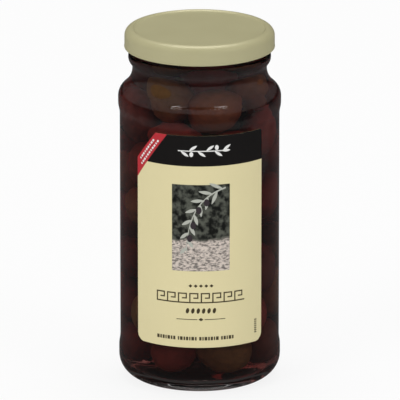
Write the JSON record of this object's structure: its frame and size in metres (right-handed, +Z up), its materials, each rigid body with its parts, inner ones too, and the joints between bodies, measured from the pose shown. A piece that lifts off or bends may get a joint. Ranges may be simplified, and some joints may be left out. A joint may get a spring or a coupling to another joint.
{
  "type": "jar of olives",
  "caption": "Tall clear glass jar of dark olives in brine, with a pale gold twist-off lid and a cream and black wrap label",
  "frame": {"origin": "middle of the ring that the jar stands on, at table height", "axes": "+Z up along the jar's axis; the label faces -Y; +X is to the right of someone reading the label"},
  "size_m": [0.0712, 0.0712, 0.1581],
  "materials": {
    "glass": "clear moulded soda-lime glass",
    "lid": "pale gold lacquer on tinplate, satin gloss",
    "label": "printed paper, satin",
    "brine": "very dark red-brown brine with olives in it"
  },
  "bodies": {
    "root": {"jar": "glass", "lid": "lid", "label": "label", "brine": "brine"}
  },
  "joints": []
}
